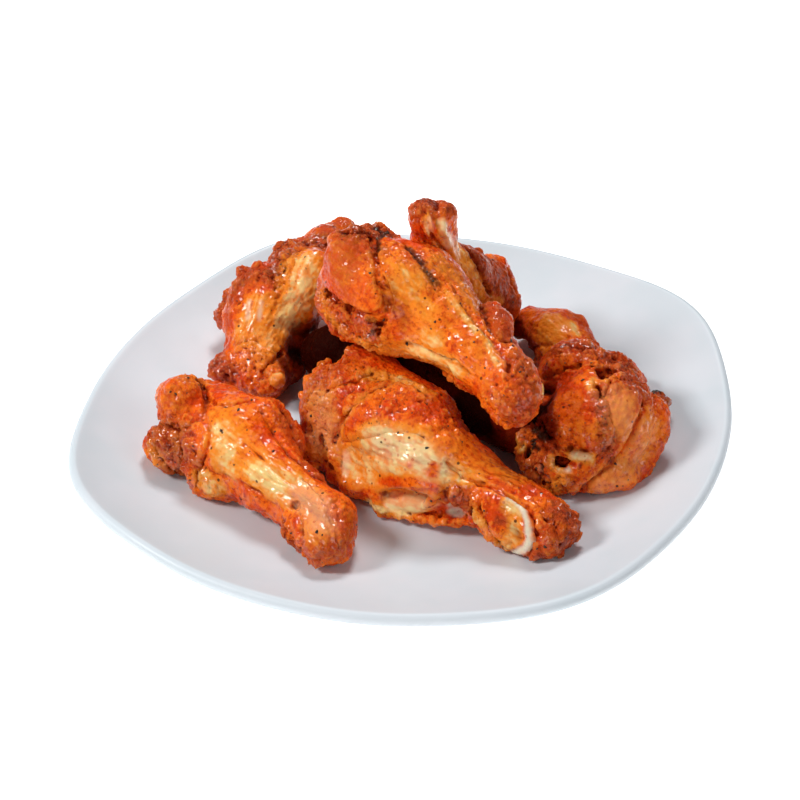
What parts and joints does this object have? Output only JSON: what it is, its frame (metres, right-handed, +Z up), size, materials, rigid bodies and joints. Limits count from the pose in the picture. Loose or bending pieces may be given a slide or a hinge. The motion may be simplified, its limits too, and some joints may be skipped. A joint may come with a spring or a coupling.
{
  "type": "chicken wings serving",
  "caption": "Baked chicken wings heaped on a shallow white soft-square plate, ready to serve.",
  "frame": {"origin": "on the table under the middle of the plate", "axes": "+Z up, the plate's sides face X and Y, and the wings' bones mostly run from the upper left to the lower right in plan"},
  "size_m": [0.21, 0.21, 0.0821],
  "materials": {
    "porcelain": "white glazed porcelain, smooth and glossy",
    "baked_skin": "oven-baked chicken skin, orange-brown to dark red, oily, specked with pepper and char"
  },
  "bodies": {
    "root": {"plate": "porcelain", "wing_under": "baked_skin", "wing_left": "baked_skin", "wing_front": "baked_skin", "wing_right": "baked_skin", "wing_right_back": "baked_skin", "wing_back_left": "baked_skin", "wing_back": "baked_skin", "wing_top": "baked_skin"}
  },
  "joints": []
}
